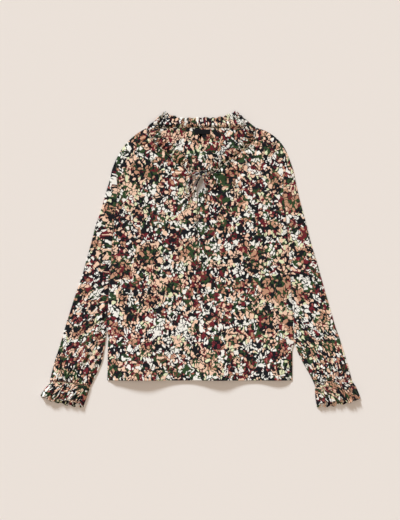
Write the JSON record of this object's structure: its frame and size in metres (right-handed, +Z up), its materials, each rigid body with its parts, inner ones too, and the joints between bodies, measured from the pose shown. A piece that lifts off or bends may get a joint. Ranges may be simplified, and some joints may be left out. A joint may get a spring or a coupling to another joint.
{
  "type": "blouse",
  "caption": "Long-sleeved blouse laid flat, with a gathered stand collar, a V neck tied with a narrow bow, a front slit, and elastic cuffs with frills.",
  "frame": {"origin": "middle of the laid-out blouse in plan, on the surface that it lies on", "axes": "+Y towards the collar, +X towards the sleeve on the right of a viewer above, +Z up out of the surface"},
  "size_m": [0.8019, 0.7405, 0.0162],
  "materials": {
    "printed_cloth": "light woven viscose, matt, with a dense small floral print in off-white, peach, burgundy, tan and dark green on navy black",
    "label": "black woven satin ribbon, bare"
  },
  "bodies": {
    "root": {"front": "printed_cloth", "back": "printed_cloth", "inner_yoke": "printed_cloth", "sleeve_right": "printed_cloth", "sleeve_left": "printed_cloth", "cuff_right": "printed_cloth", "cuff_left": "printed_cloth", "collar": "printed_cloth", "neck_binding": "printed_cloth", "tie_strand_left": "printed_cloth", "tie_loop_left": "printed_cloth", "tie_loop_right": "printed_cloth", "tie_end_left": "printed_cloth", "tie_end_right": "printed_cloth", "tie_knot": "printed_cloth", "label": "label"}
  },
  "joints": []
}
